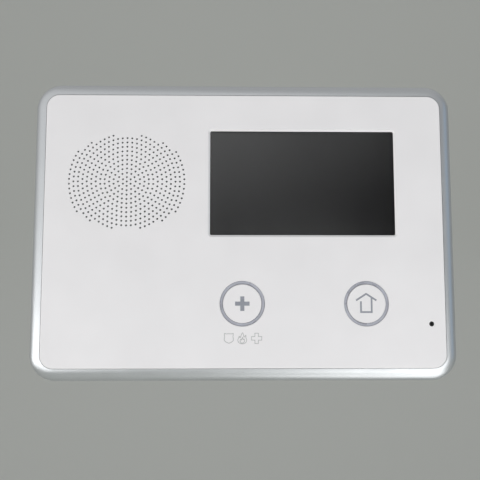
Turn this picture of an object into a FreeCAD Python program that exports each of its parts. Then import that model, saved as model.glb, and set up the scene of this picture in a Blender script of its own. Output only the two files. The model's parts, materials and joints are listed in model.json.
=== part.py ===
import FreeCAD, Part
import math
import os

# Wall-mounted alarm keypad panel, hung on its wall plate.
# Frame: X to the right seen from the front, Z up, the front faces -Y.
# The origin is the middle of the wall plate's back face, so the wall is the plane y = 0.
# "Depth" below is the distance in front of the wall: y = -depth. All sizes are in millimetres.

# Outer form
PANEL_WIDTH = 197.0
PANEL_HEIGHT = 139.0
PANEL_DEPTH = 32.0
RIM_RADIUS = 6.2
FACE_CORNER_R = 6.0
RIM_WALL = 2.0
RIM_BACK_DEPTH = 17.2
FACE_PROUD = 0.3
FACE_GAP = 0.12

# Front cover
COVER_THICKNESS = 2.4
FACE_EDGE_R = 0.5
FLANGE_THICKNESS = 1.4
FLANGE_WIDTH = 3.5
FLANGE_REACH = 1.3
FLANGE_STEP = 0.35

# Screen
SCREEN_X = 27.1
SCREEN_Z = 21.75
WINDOW_WIDTH = 86.0
WINDOW_HEIGHT = 48.9
WINDOW_CORNER_R = 0.8
WINDOW_BEVEL = 0.9
WINDOW_SILL = 0.8
GLASS_MARGIN = 4.2
GLASS_CORNER_R = 1.5
POCKET_CLEARANCE = 0.4
GLASS_THICKNESS = 1.1
GASKET_THICKNESS = 0.3
DISPLAY_THICKNESS = 4.4
BRACKET_WALL = 0.8
BRACKET_WINDOW_HALF = (36.0, 20.0)
RIBBON_WIDTH = 18.0
RIBBON_THICKNESS = 0.24
RIBBON_BEND_R = 1.2

# Round buttons: each has a fixed light ring around a cap that presses in
EMERGENCY_XZ = (-0.93, -34.15)
HOME_XZ = (55.91, -34.2)
RING_OUTER_R = 10.3
RING_INNER_R = 8.92
RING_FLANGE_R = 12.3
RING_SUNK = 0.55
CAP_R = 8.8
CAP_EDGE_R = 0.25
CAP_PROUD = 0.1
CAP_WALL = 1.2
ICON_DEPTH = 0.5
PLUS_SIZE = 6.6
PLUS_ARM = 1.85
HOUSE_STROKE = 0.8
CAP_FLANGE_R = 9.6
CAP_POST_R = 1.8
BUTTON_TRAVEL = 0.6
SWITCH_SIZE = 6.0
SWITCH_HEIGHT = 3.3
PLUNGER_R = 1.7
RUNNING_GAP = 0.05
LEDS_PER_RING = 4
LED_CIRCLE_R = 11.6

# Speaker and the holes in front of it
SPEAKER_X = -54.44
SPEAKER_Z = 22.13
HOLE_PITCH = 2.05
HOLE_R = 0.45
HOLE_RINGS = 13
HOLE_FIELD_A = 14.3 * HOLE_PITCH
HOLE_FIELD_B = 10.886 * HOLE_PITCH
GRILLE_WALL = 0.8
GRILLE_POCKET_HALF = (34.0, 28.0)
CLOTH_THICKNESS = 0.4
SPEAKER_GASKET_THICKNESS = 1.0
SPEAKER_R = 25.5
SPEAKER_DEPTH = 10.0
CONE_R = 20.5
COIL_R = 6.7
MAGNET_R = 13.0
MAGNET_THICKNESS = 6.0
BASKET_WINDOWS = 4
SPEAKER_LEAD_R = 0.5

# Microphone
MIC_X = 85.65
MIC_Z = -43.4
MIC_HOLE_R = 1.15
MIC_SOUND_HOLE_R = 0.45
MIC_SNOUT_SUNK = 0.15
MIC_CAPSULE_R = 3.0
MIC_CAPSULE_LENGTH = 2.7
MIC_BOOT_FRONT_WALL = 1.2

# Rear housing
HOUSING_BACK_DEPTH = 0.6
HOUSING_HALF_BACK = (91.0, 62.0)
HOUSING_HALF_FRONT = (97.3, 68.3)
HOUSING_CORNER_R = 11.5
BACK_WALL_DEPTH = 5.0
BACK_WALL_THICKNESS = 2.0
RECESS_HALF = (86.5, 57.5)
RECESS_CORNER_R = 8.0
LIP_DEPTH = 26.4
LIP_WALL = 1.6
LIP_GAP = 0.2

# Wall plate and its hooks
PLATE_THICKNESS = 3.0
PLATE_HALF_WIDTH = 82.0
PLATE_BOTTOM = -46.0
PLATE_TOP = 56.0
HOOK_XZ = [(-66.0, 38.0), (66.0, 38.0), (-66.0, -30.0), (66.0, -30.0)]
HOOK_WIDTH = 10.0
HOOK_ROOT_HEIGHT = 3.0
HOOK_HEIGHT = 9.0
HOOK_THICKNESS = 2.0
HOOK_GAP = 0.3
LIFT_TRAVEL = 10.0
WALL_SCREW_SPACING = (152.0, 88.0)
WALL_SCREW_CENTRE_Z = 5.0
WALL_SCREW_R = 2.4
WALL_SCREW_HEAD_R = 4.6
# Windows in the plate, as half width, half height and middle: wiring, battery cover, spare cable
PLATE_WINDOWS = [(21.0, 14.0, -9.0, -26.0), (38.0, 19.0, 16.0, 27.0), (18.0, 19.0, -43.0, 27.0)]
PLATE_WINDOW_CORNER_R = 3.0

# Case screws, run in from the back
CASE_SCREW_XZ = [(-81.0, 51.0), (81.0, 51.0), (-81.0, -51.0), (81.0, -51.0), (-28.0, 55.0), (28.0, -56.0)]
PILLAR_R = 4.3
PILLAR_FRONT_DEPTH = 24.3
SCREW_HEAD_R = 2.9
SCREW_HEAD_HEIGHT = 2.2
SCREW_SEAT_DEPTH = 16.0
SCREW_R = 1.35
SCREW_LENGTH = 12.5
POST_R = 3.5
BOARD_POST_R = 3.0

# Main board
BOARD_LEFT = -26.0
BOARD_RIGHT = 88.0
BOARD_HALF_HEIGHT = 46.0
BOARD_BACK_DEPTH = 20.4
BOARD_THICKNESS = 1.6
BOARD_SCREW_XZ = [(-22.0, -17.0), (-22.0, -42.0), (82.0, 40.0), (82.0, -20.0)]
BOARD_SCREW_R = 1.2
BOARD_SCREW_HEAD_R = 2.3
BOARD_SCREW_HEAD_HEIGHT = 1.6
SHIELD_XZ = (67.3, -6.5)
SHIELD_HALF = 12.0
SHIELD_HEIGHT = 3.0
SHIELD_SHEET = 0.4
RADIO_XZ = (44.0, -33.0)
ANTENNA_LEFT = 34.0
ANTENNA_RIGHT = 74.0
ANTENNA_Z = 59.0
ANTENNA_SLOTS = 4
ANTENNA_SLOT_PITCH = 8.0
ANTENNA_LEAD_X = 60.0

# Battery compartment, closed by a cover in the back wall
CELL_R = 5.25
CELL_LENGTH = 44.5
CELL_COUNT = 6
CELL_DEPTH = 13.0
BATTERY_X = 20.0
BATTERY_Z = 18.0
TRAY_INNER = (66.0, 47.0)
TRAY_WALL = 1.5
TRAY_FRONT_DEPTH = 18.6
BATTERY_LID_MARGIN = 2.0
BATTERY_LID_THICKNESS = 0.95
LID_SCREW_BELOW_TRAY = 4.5
LID_SCREW_R = 1.25
LID_SCREW_HEAD_R = 2.4

# Wiring terminals
TERMINAL_X = -9.0
TERMINAL_Z = -33.0
TERMINAL_COUNT = 6
TERMINAL_PITCH = 5.0
TERMINAL_HEIGHT = 10.0
TERMINAL_BACK_DEPTH = 8.0
TERMINAL_SCREW_R = 1.8
TERMINAL_SCREW_Z = TERMINAL_Z - 1.2
TERMINAL_OPENING_MARGIN = 3.0

# Tamper switch, pressed by the wall plate
TAMPER_XZ = (17.0, -20.0)
TAMPER_R = 1.5
TAMPER_REST_GAP = 0.15
TAMPER_BODY_DEPTH = 12.0
TAMPER_BODY_HALF = 3.5
TAMPER_BORE_DEPTH = 17.0
TAMPER_PIN_FRONT_DEPTH = 15.5
COLLAR_FRONT_DEPTH = 8.8
SPRING_WIRE_R = 0.25
SPRING_TURNS = 4
SPRING_SIDES = 12

BOARD_FRONT_DEPTH = BOARD_BACK_DEPTH + BOARD_THICKNESS
COVER_BACK_DEPTH = PANEL_DEPTH - COVER_THICKNESS
FACE_HALF = (PANEL_WIDTH / 2 - RIM_RADIUS, PANEL_HEIGHT / 2 - RIM_RADIUS)
GLASS_FRONT_DEPTH = PANEL_DEPTH - WINDOW_SILL - GASKET_THICKNESS
GLASS_SIZE = (WINDOW_WIDTH + 2 * GLASS_MARGIN, WINDOW_HEIGHT + 2 * GLASS_MARGIN)
DISPLAY_FRONT_DEPTH = GLASS_FRONT_DEPTH - GLASS_THICKNESS - 0.2
BACK_INNER_DEPTH = BACK_WALL_DEPTH + BACK_WALL_THICKNESS
HALF_LIP = (PANEL_WIDTH / 2 - RIM_WALL - LIP_GAP, PANEL_HEIGHT / 2 - RIM_WALL - LIP_GAP)
HALF_TRAY = (TRAY_INNER[0] / 2, TRAY_INNER[1] / 2)
LID_SCREW_Z = BATTERY_Z - HALF_TRAY[1] - LID_SCREW_BELOW_TRAY
CLOTH_FRONT_DEPTH = PANEL_DEPTH - GRILLE_WALL
SPEAKER_FRONT = CLOTH_FRONT_DEPTH - CLOTH_THICKNESS - SPEAKER_GASKET_THICKNESS
MAGNET_FRONT = SPEAKER_FRONT - SPEAKER_DEPTH
MIC_FRONT_DEPTH = COVER_BACK_DEPTH - MIC_BOOT_FRONT_WALL
TERMINAL_HALF_LENGTH = TERMINAL_COUNT * TERMINAL_PITCH / 2

TOWARDS_FRONT = FreeCAD.Vector(0, -1, 0)


# ---------------------------------------------------------------- building blocks

def at(x, depth, z):
    return FreeCAD.Vector(x, -depth, z)


def rounded_outline(half_width, half_height, radius, depth, x=0.0, z=0.0):
    """Closed wire: a rectangle with round corners, lying in a plane of constant depth."""
    right, top = half_width - radius, half_height - radius
    edges = []
    corners = [(right, top, 0), (-right, top, 90), (-right, -top, 180), (right, -top, 270)]
    previous_end = None
    first_start = None
    for corner_x, corner_z, start_angle in corners:
        points = []
        for angle in (start_angle, start_angle + 45, start_angle + 90):
            turn = math.radians(angle)
            along_x = corner_x + radius * math.cos(turn)
            along_z = corner_z + radius * math.sin(turn)
            points.append(at(x + along_x, depth, z + along_z))
        if previous_end is not None:
            edges.append(Part.LineSegment(previous_end, points[0]).toShape())
        else:
            first_start = points[0]
        edges.append(Part.Arc(*points).toShape())
        previous_end = points[2]
    edges.append(Part.LineSegment(previous_end, first_start).toShape())
    return Part.Wire(edges)


def plate(half_width, half_height, radius, back, front, x=0.0, z=0.0):
    """Flat slab with round corners between two depths."""
    face = Part.Face(rounded_outline(half_width, half_height, radius, back, x, z))
    return face.extrude(TOWARDS_FRONT * (front - back))


def tapered(half_back, half_front, radius_back, radius_front, back, front, x=0.0, z=0.0):
    """Slab whose rounded outline changes size between two depths."""
    outlines = [
        rounded_outline(half_back[0], half_back[1], radius_back, back, x, z),
        rounded_outline(half_front[0], half_front[1], radius_front, front, x, z),
    ]
    return Part.makeLoft(outlines, True, True)


def disc(x, z, radius, back, front):
    return Part.makeCylinder(radius, front - back, at(x, back, z), TOWARDS_FRONT)


def tube(x, z, inner, outer, back, front):
    return disc(x, z, outer, back, front).cut(disc(x, z, inner, back - 1, front + 1))


def cone_solid(x, z, radius_back, radius_front, back, front):
    return Part.makeCone(radius_back, radius_front, front - back, at(x, back, z), TOWARDS_FRONT)


def block(x0, x1, z0, z1, back, front):
    return Part.makeBox(x1 - x0, front - back, z1 - z0, at(x0, front, z0))


def ellipse_slab(x, z, half_width, half_height, back, front):
    ellipse = Part.Ellipse(at(x + half_width, back, z), at(x, back, z + half_height), at(x, back, z))
    face = Part.Face(Part.Wire([ellipse.toShape()]))
    return face.extrude(TOWARDS_FRONT * (front - back))


def fuse_all(shapes):
    return shapes[0].multiFuse(shapes[1:]).removeSplitter()


def cross_slot(x, z, half_length, half_width, front):
    """Two crossed bars that cut a screwdriver slot from the back up to one depth."""
    return [
        block(x - half_length, x + half_length, z - half_width, z + half_width, 0, front),
        block(x - half_width, x + half_width, z - half_length, z + half_length, 0, front),
    ]


def front_edges(shape, depth):
    """Edges that lie wholly in the plane at one depth."""
    found = []
    for edge in shape.Edges:
        box = edge.BoundBox
        if abs(box.YMin + depth) < 1e-4 and abs(box.YMax + depth) < 1e-4:
            found.append(edge)
    return found


def bent_path(points, bend_radius):
    """Wire through the points: straight runs joined by tangent arcs."""
    edges = []
    start = points[0]
    for before, corner, after in zip(points, points[1:], points[2:]):
        arriving = (corner - before).normalize()
        leaving = (after - corner).normalize()
        half_turn = arriving.getAngle(leaving) / 2
        setback = bend_radius * math.tan(half_turn)
        arc_start = corner - arriving * setback
        arc_end = corner + leaving * setback
        to_centre = (leaving - arriving).normalize()
        centre = corner + to_centre * (bend_radius / math.cos(half_turn))
        arc_middle = centre - to_centre * bend_radius
        edges.append(Part.LineSegment(start, arc_start).toShape())
        edges.append(Part.Arc(arc_start, arc_middle, arc_end).toShape())
        start = arc_end
    edges.append(Part.LineSegment(start, points[-1]).toShape())
    return Part.Wire(edges)


def lead(points, radius, bend_radius):
    """Round insulated lead along a bent path."""
    path = bent_path(points, bend_radius)
    direction = (points[1] - points[0]).normalize()
    circle = Part.Wire([Part.makeCircle(radius, points[0], direction)])
    return path.makePipeShell([circle], True, True)


def save(name, shape):
    """Write one node. Separate solids of one node stay separate."""
    solids = shape.Solids
    kept = solids[0] if len(solids) == 1 else Part.makeCompound(solids)
    if not kept.isValid():
        print("not valid:", name)
    kept.exportStep(os.path.join("parts", name + ".step"))
    print(name, "solids", len(solids), "volume", round(kept.Volume, 1))


# ---------------------------------------------------------------- outer shells

def speaker_hole_places():
    """Concentric rings of holes, kept inside an ellipse. Ring k has six holes more than the
    ring inside it, and every sixth ring drops two, so that the spacing along the ring stays even."""
    places = [(SPEAKER_X, SPEAKER_Z)]
    for ring in range(1, HOLE_RINGS + 1):
        count = 6 * ring - 2 * (ring // 6)
        for index in range(count):
            turn = math.radians(90) + 2 * math.pi * index / count
            along_x = ring * HOLE_PITCH * math.cos(turn)
            along_z = ring * HOLE_PITCH * math.sin(turn)
            if (along_x / HOLE_FIELD_A) ** 2 + (along_z / HOLE_FIELD_B) ** 2 <= 1:
                places.append((SPEAKER_X + along_x, SPEAKER_Z + along_z))
    return places


def front_cover():
    """White face plate with all its openings, a flange behind the rim and posts for the screws."""
    shell = plate(FACE_HALF[0], FACE_HALF[1], FACE_CORNER_R, COVER_BACK_DEPTH, PANEL_DEPTH)
    shell = shell.makeFillet(FACE_EDGE_R, front_edges(shell, PANEL_DEPTH))

    flange_back = COVER_BACK_DEPTH - FLANGE_THICKNESS
    flange_half = (FACE_HALF[0] + FLANGE_REACH, FACE_HALF[1] + FLANGE_REACH)
    reach = plate(flange_half[0], flange_half[1], FACE_CORNER_R + FLANGE_REACH,
                  flange_back, COVER_BACK_DEPTH - FLANGE_STEP)
    root = plate(FACE_HALF[0], FACE_HALF[1], FACE_CORNER_R, flange_back, COVER_BACK_DEPTH)
    inside_half = (flange_half[0] - FLANGE_WIDTH, flange_half[1] - FLANGE_WIDTH)
    inside = plate(inside_half[0], inside_half[1], FACE_CORNER_R, flange_back - 1, COVER_BACK_DEPTH)
    flange = root.fuse(reach).cut(inside)
    pieces = [shell, flange]
    for x, z in CASE_SCREW_XZ:
        pieces.append(disc(x, z, POST_R, PILLAR_FRONT_DEPTH + 0.1, COVER_BACK_DEPTH))
    for x, z in BOARD_SCREW_XZ:
        pieces.append(disc(x, z, BOARD_POST_R, BOARD_FRONT_DEPTH, COVER_BACK_DEPTH))
    body = fuse_all(pieces)

    cuts = []
    half = (WINDOW_WIDTH / 2, WINDOW_HEIGHT / 2)
    sill_depth = PANEL_DEPTH - WINDOW_SILL
    wide = (half[0] + WINDOW_BEVEL, half[1] + WINDOW_BEVEL)
    cuts.append(plate(half[0], half[1], WINDOW_CORNER_R, COVER_BACK_DEPTH - 1, PANEL_DEPTH,
                      SCREEN_X, SCREEN_Z))
    cuts.append(tapered(half, wide, WINDOW_CORNER_R, WINDOW_CORNER_R + WINDOW_BEVEL,
                        sill_depth, PANEL_DEPTH, SCREEN_X, SCREEN_Z))
    pocket_half = (GLASS_SIZE[0] / 2 + POCKET_CLEARANCE, GLASS_SIZE[1] / 2 + POCKET_CLEARANCE)
    cuts.append(plate(pocket_half[0], pocket_half[1], GLASS_CORNER_R + POCKET_CLEARANCE,
                      COVER_BACK_DEPTH - 1, sill_depth, SCREEN_X, SCREEN_Z))
    for x, z in (EMERGENCY_XZ, HOME_XZ):
        cuts.append(disc(x, z, RING_OUTER_R + 0.05, COVER_BACK_DEPTH - 1, PANEL_DEPTH + 1))
    cuts.append(disc(MIC_X, MIC_Z, MIC_HOLE_R, COVER_BACK_DEPTH - 1, PANEL_DEPTH + 1))
    for x, z in CASE_SCREW_XZ:
        cuts.append(disc(x, z, SCREW_R + 0.05, PILLAR_FRONT_DEPTH, COVER_BACK_DEPTH - 0.4))
    for x, z in BOARD_SCREW_XZ:
        cuts.append(disc(x, z, BOARD_SCREW_R + 0.05, BOARD_FRONT_DEPTH - 1, COVER_BACK_DEPTH - 0.4))
    cuts.append(ellipse_slab(SPEAKER_X, SPEAKER_Z, GRILLE_POCKET_HALF[0], GRILLE_POCKET_HALF[1],
                             COVER_BACK_DEPTH - 0.5, CLOTH_FRONT_DEPTH))
    body = body.cut(cuts)

    holes = []
    for x, z in speaker_hole_places():
        holes.append(disc(x, z, HOLE_R, CLOTH_FRONT_DEPTH - 0.5, PANEL_DEPTH + 0.5))
    return body.cut(holes)


def silver_trim_rim():
    """Ring around the face: a straight band that rolls over in a quarter round to the face's edge."""
    half = (PANEL_WIDTH / 2, PANEL_HEIGHT / 2)
    corner = FACE_CORNER_R + RIM_RADIUS
    top_depth = PANEL_DEPTH - FACE_PROUD
    outer = plate(half[0], half[1], corner, RIM_BACK_DEPTH, top_depth)
    outer = outer.makeFillet(RIM_RADIUS - FACE_PROUD / 2, front_edges(outer, top_depth))
    inner_top = top_depth - RIM_WALL
    inner = plate(half[0] - RIM_WALL, half[1] - RIM_WALL, corner - RIM_WALL,
                  RIM_BACK_DEPTH - 1, inner_top)
    inner = inner.makeFillet(RIM_RADIUS - RIM_WALL, front_edges(inner, inner_top))
    mouth = plate(FACE_HALF[0] + FACE_GAP, FACE_HALF[1] + FACE_GAP, FACE_CORNER_R + FACE_GAP,
                  RIM_BACK_DEPTH - 1, PANEL_DEPTH + 1)
    return outer.cut([inner, mouth])


def rear_housing():
    """Tapered tub behind the rim, with the recess for the wall plate in its back."""
    shoulder = RIM_BACK_DEPTH - LIP_GAP
    outside = tapered(HOUSING_HALF_BACK, HOUSING_HALF_FRONT, HOUSING_CORNER_R, HOUSING_CORNER_R,
                      HOUSING_BACK_DEPTH, shoulder)
    lip_corner = FACE_CORNER_R + RIM_RADIUS - RIM_WALL - LIP_GAP
    lip = plate(HALF_LIP[0], HALF_LIP[1], lip_corner, shoulder - 0.5, LIP_DEPTH)
    body = outside.fuse(lip)

    inside_front = (HALF_LIP[0] - LIP_WALL, HALF_LIP[1] - LIP_WALL)
    inside_back = (HOUSING_HALF_BACK[0] + 1.0, HOUSING_HALF_BACK[1] + 1.0)
    inside_corner = lip_corner - LIP_WALL
    cavity = tapered(inside_back, inside_front, RECESS_CORNER_R, inside_corner, BACK_INNER_DEPTH, shoulder)
    cavity_front = plate(inside_front[0], inside_front[1], inside_corner, shoulder - 0.01, LIP_DEPTH + 1)
    recess = plate(RECESS_HALF[0], RECESS_HALF[1], RECESS_CORNER_R, HOUSING_BACK_DEPTH - 1,
                   BACK_WALL_DEPTH)
    body = body.cut([cavity, cavity_front, recess])

    added = [body]
    for x, z in CASE_SCREW_XZ:
        added.append(disc(x, z, PILLAR_R, BACK_WALL_DEPTH + 0.5, PILLAR_FRONT_DEPTH))
    added.append(plate(HALF_TRAY[0] + TRAY_WALL, HALF_TRAY[1] + TRAY_WALL, 2.5, BACK_WALL_DEPTH + 0.5,
                       TRAY_FRONT_DEPTH + 1.0, BATTERY_X, BATTERY_Z))
    added.append(disc(BATTERY_X, LID_SCREW_Z, 3.2, BACK_INNER_DEPTH - 0.5, BACK_INNER_DEPTH + 5))
    body = fuse_all(added)

    cuts = []
    for x, z in CASE_SCREW_XZ:
        cuts.append(disc(x, z, SCREW_HEAD_R + 0.4, BACK_WALL_DEPTH - 1, SCREW_SEAT_DEPTH))
        cuts.append(disc(x, z, SCREW_R + 0.25, SCREW_SEAT_DEPTH - 1, PILLAR_FRONT_DEPTH + 1))
    cuts.append(plate(HALF_TRAY[0], HALF_TRAY[1], 1.5, BACK_WALL_DEPTH - 1, TRAY_FRONT_DEPTH,
                      BATTERY_X, BATTERY_Z))
    rebate = (HALF_TRAY[0] + BATTERY_LID_MARGIN, HALF_TRAY[1] + BATTERY_LID_MARGIN)
    cuts.append(plate(rebate[0], rebate[1], 3.0, BACK_WALL_DEPTH - 1, BACK_WALL_DEPTH + 1.0,
                      BATTERY_X, BATTERY_Z))
    cuts.append(disc(BATTERY_X, LID_SCREW_Z, LID_SCREW_R + 0.05, BACK_WALL_DEPTH - 1, BACK_INNER_DEPTH + 4))
    cuts.append(plate(5.2, 4.2, 2.0, BACK_WALL_DEPTH - 1, BACK_WALL_DEPTH + 1.0,
                      BATTERY_X, LID_SCREW_Z + 1.0))
    for x, z in HOOK_XZ:
        low = z - LIFT_TRAVEL - 0.5
        high = z + HOOK_ROOT_HEIGHT + 0.1
        half_slot = HOOK_WIDTH / 2 + 0.5
        cuts.append(block(x - half_slot, x + half_slot, low, high,
                          BACK_WALL_DEPTH - 1, BACK_INNER_DEPTH + 1))
    opening_half = TERMINAL_HALF_LENGTH + TERMINAL_OPENING_MARGIN
    cuts.append(block(TERMINAL_X - opening_half, TERMINAL_X + opening_half,
                      TERMINAL_Z - TERMINAL_HEIGHT / 2 - TERMINAL_OPENING_MARGIN,
                      TERMINAL_Z + TERMINAL_HEIGHT / 2 + TERMINAL_OPENING_MARGIN + 1.0,
                      BACK_WALL_DEPTH - 1, BACK_INNER_DEPTH + 1))
    cuts.append(disc(TAMPER_XZ[0], TAMPER_XZ[1], TAMPER_R + 0.3, BACK_WALL_DEPTH - 1, BACK_INNER_DEPTH + 1))
    return body.cut(cuts)


def wall_plate():
    """Plate that is screwed to the wall, with four upturned hooks and three windows."""
    middle_z = (PLATE_TOP + PLATE_BOTTOM) / 2
    half_height = (PLATE_TOP - PLATE_BOTTOM) / 2
    body = plate(PLATE_HALF_WIDTH, half_height, 6.0, 0, PLATE_THICKNESS, 0, middle_z)
    body = body.makeChamfer(0.6, front_edges(body, PLATE_THICKNESS))
    inner_face = BACK_INNER_DEPTH + HOOK_GAP
    added = [body]
    for x, z in HOOK_XZ:
        left, right = x - HOOK_WIDTH / 2, x + HOOK_WIDTH / 2
        hook_front = inner_face + HOOK_THICKNESS
        added.append(block(left, right, z, z + HOOK_ROOT_HEIGHT, PLATE_THICKNESS - 1, hook_front))
        added.append(block(left, right, z, z + HOOK_HEIGHT, inner_face, hook_front))
    body = fuse_all(added)
    half_x, half_z = WALL_SCREW_SPACING[0] / 2, WALL_SCREW_SPACING[1] / 2
    cuts = []
    for side_x in (-1, 1):
        for side_z in (-1, 1):
            x, z = side_x * half_x, WALL_SCREW_CENTRE_Z + side_z * half_z
            cuts.append(disc(x, z, WALL_SCREW_R, -1, PLATE_THICKNESS + 1))
            cuts.append(cone_solid(x, z, WALL_SCREW_R, WALL_SCREW_HEAD_R, 1.4, PLATE_THICKNESS + 0.001))
    for half_width, half_window, x, z in PLATE_WINDOWS:
        cuts.append(plate(half_width, half_window, PLATE_WINDOW_CORNER_R, -1, PLATE_THICKNESS + 1, x, z))
    return body.cut(cuts)


# ---------------------------------------------------------------- screen

def lcd_gasket():
    outer = plate(GLASS_SIZE[0] / 2, GLASS_SIZE[1] / 2, GLASS_CORNER_R, GLASS_FRONT_DEPTH,
                  GLASS_FRONT_DEPTH + GASKET_THICKNESS, SCREEN_X, SCREEN_Z)
    inner = plate(WINDOW_WIDTH / 2 + 1.0, WINDOW_HEIGHT / 2 + 1.0, 1.0, GLASS_FRONT_DEPTH - 1,
                  PANEL_DEPTH, SCREEN_X, SCREEN_Z)
    return outer.cut(inner)


def touch_panel():
    back = GLASS_FRONT_DEPTH - GLASS_THICKNESS
    return plate(GLASS_SIZE[0] / 2, GLASS_SIZE[1] / 2, GLASS_CORNER_R, back, GLASS_FRONT_DEPTH,
                 SCREEN_X, SCREEN_Z)


def lcd_module():
    """Display in its metal frame, with a raised bezel step around the active area."""
    back = DISPLAY_FRONT_DEPTH - DISPLAY_THICKNESS
    body = plate(GLASS_SIZE[0] / 2 + 1.0, GLASS_SIZE[1] / 2 + 1.0, 1.0, back, DISPLAY_FRONT_DEPTH,
                 SCREEN_X, SCREEN_Z)
    step = plate(WINDOW_WIDTH / 2 + 0.8, WINDOW_HEIGHT / 2 + 0.8, 0.5, DISPLAY_FRONT_DEPTH - 0.3,
                 DISPLAY_FRONT_DEPTH + 1, SCREEN_X, SCREEN_Z)
    return body.cut(step)


def lcd_bracket():
    """Pressed metal tray that holds the display against the cover."""
    inner_half = (GLASS_SIZE[0] / 2 + 1.2, GLASS_SIZE[1] / 2 + 1.2)
    floor_back = DISPLAY_FRONT_DEPTH - DISPLAY_THICKNESS - BRACKET_WALL - 0.1
    outer = plate(inner_half[0] + BRACKET_WALL, inner_half[1] + BRACKET_WALL, 2.0, floor_back,
                  DISPLAY_FRONT_DEPTH - 0.4, SCREEN_X, SCREEN_Z)
    inner = plate(inner_half[0], inner_half[1], 1.2, floor_back + BRACKET_WALL, PANEL_DEPTH,
                  SCREEN_X, SCREEN_Z)
    window = plate(BRACKET_WINDOW_HALF[0], BRACKET_WINDOW_HALF[1], 3.0, floor_back - 1, PANEL_DEPTH,
                   SCREEN_X, SCREEN_Z)
    slot_half = RIBBON_WIDTH / 2 + 3.0
    slot_top = SCREEN_Z - inner_half[1] + 1.0
    cable_slot = block(SCREEN_X - slot_half, SCREEN_X + slot_half, slot_top - 5.0, slot_top,
                       floor_back + BRACKET_WALL, PANEL_DEPTH)
    return outer.cut([inner, window, cable_slot])


def lcd_ribbon_cable():
    """Flat flexible cable from the display's lower edge down to the board."""
    start_z = SCREEN_Z - GLASS_SIZE[1] / 2 - 1.0
    start_depth = DISPLAY_FRONT_DEPTH - 2.0
    end_depth = BOARD_FRONT_DEPTH + 1.0
    points = [
        at(SCREEN_X, start_depth, start_z),
        at(SCREEN_X, start_depth, start_z - 4.0),
        at(SCREEN_X, end_depth, start_z - 4.0),
        at(SCREEN_X, end_depth, start_z - 7.0),
    ]
    path = bent_path(points, RIBBON_BEND_R)
    half = RIBBON_WIDTH / 2
    thin = RIBBON_THICKNESS / 2
    corners = [(-half, -thin), (half, -thin), (half, thin), (-half, thin), (-half, -thin)]
    outline = Part.makePolygon([at(SCREEN_X + x, start_depth + depth, start_z) for x, depth in corners])
    return path.makePipeShell([outline], True, True)


# ---------------------------------------------------------------- buttons

def light_ring(place):
    """Translucent ring around a button, held by a flange behind the cover."""
    x, z = place
    front = PANEL_DEPTH - RING_SUNK
    ring = tube(x, z, RING_INNER_R, RING_OUTER_R, COVER_BACK_DEPTH - 1.2, front)
    ring = ring.makeFillet(0.25, front_edges(ring, front))
    flange = tube(x, z, RING_INNER_R, RING_FLANGE_R, COVER_BACK_DEPTH - 1.2, COVER_BACK_DEPTH)
    return ring.fuse(flange).removeSplitter()


def button_cap(place, icon):
    """Hollow cap with a skirt, a retaining flange behind the ring, a post for the switch
    and a pocket in its front for the icon."""
    x, z = place
    front = PANEL_DEPTH + CAP_PROUD
    flange_front = COVER_BACK_DEPTH - 1.6
    flange_back = flange_front - 1.0
    head = disc(x, z, CAP_R, flange_back, front)
    head = head.makeFillet(CAP_EDGE_R, front_edges(head, front))
    flange = disc(x, z, CAP_FLANGE_R, flange_back, flange_front)
    hollow = disc(x, z, CAP_R - CAP_WALL, flange_back - 1, PANEL_DEPTH - CAP_WALL)
    post = disc(x, z, CAP_POST_R, flange_back - 0.4, PANEL_DEPTH - CAP_WALL / 2)
    return head.fuse(flange).cut(hollow).fuse(post).cut(icon).removeSplitter()


def stroke(x0, z0, x1, z1, width):
    """Straight bar of the icon's thickness from one point to another, as seen from the front."""
    back = PANEL_DEPTH + CAP_PROUD - ICON_DEPTH
    length = math.hypot(x1 - x0, z1 - z0)
    bar = block(0, length, -width / 2, width / 2, back, PANEL_DEPTH + CAP_PROUD)
    turn = math.degrees(math.atan2(z1 - z0, x1 - x0))
    bar.rotate(FreeCAD.Vector(0, 0, 0), FreeCAD.Vector(0, 1, 0), -turn)
    bar.translate(FreeCAD.Vector(x0, 0, z0))
    return bar


def plus_icon(place):
    """Clear insert in the shape of a plus."""
    x, z = place
    reach = PLUS_SIZE / 2
    return fuse_all([
        stroke(x - reach, z, x + reach, z, PLUS_ARM),
        stroke(x, z - reach, x, z + reach, PLUS_ARM),
    ])


def house_icon(place):
    """Clear insert in the shape of a small house, whose left wall stops short of the roof."""
    x, z = place
    half = HOUSE_STROKE / 2
    apex_x = x - 0.15
    apex_z = z + 4.5
    eave_reach = 4.65
    eave_z = z + 1.5
    left = x - 2.6
    right = x + 2.3
    floor_z = z - 3.8
    return fuse_all([
        stroke(apex_x - eave_reach, eave_z, apex_x, apex_z, HOUSE_STROKE),
        stroke(apex_x, apex_z, apex_x + eave_reach, eave_z, HOUSE_STROKE),
        stroke(left - half, floor_z, right + half, floor_z, HOUSE_STROKE),
        stroke(left, floor_z, left, z + 1.1, HOUSE_STROKE),
        stroke(right, floor_z, right, z + 2.9, HOUSE_STROKE),
        disc(apex_x, apex_z, half, PANEL_DEPTH + CAP_PROUD - ICON_DEPTH, PANEL_DEPTH + CAP_PROUD),
    ])


def button_return_spring(place):
    """Silicone skirt between the board and the cap's flange."""
    x, z = place
    top = COVER_BACK_DEPTH - 2.6
    outside = cone_solid(x, z, 10.4, 9.4, BOARD_FRONT_DEPTH, top)
    inside = cone_solid(x, z, 9.4, 8.4, BOARD_FRONT_DEPTH, top)
    return outside.cut(inside)


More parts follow.
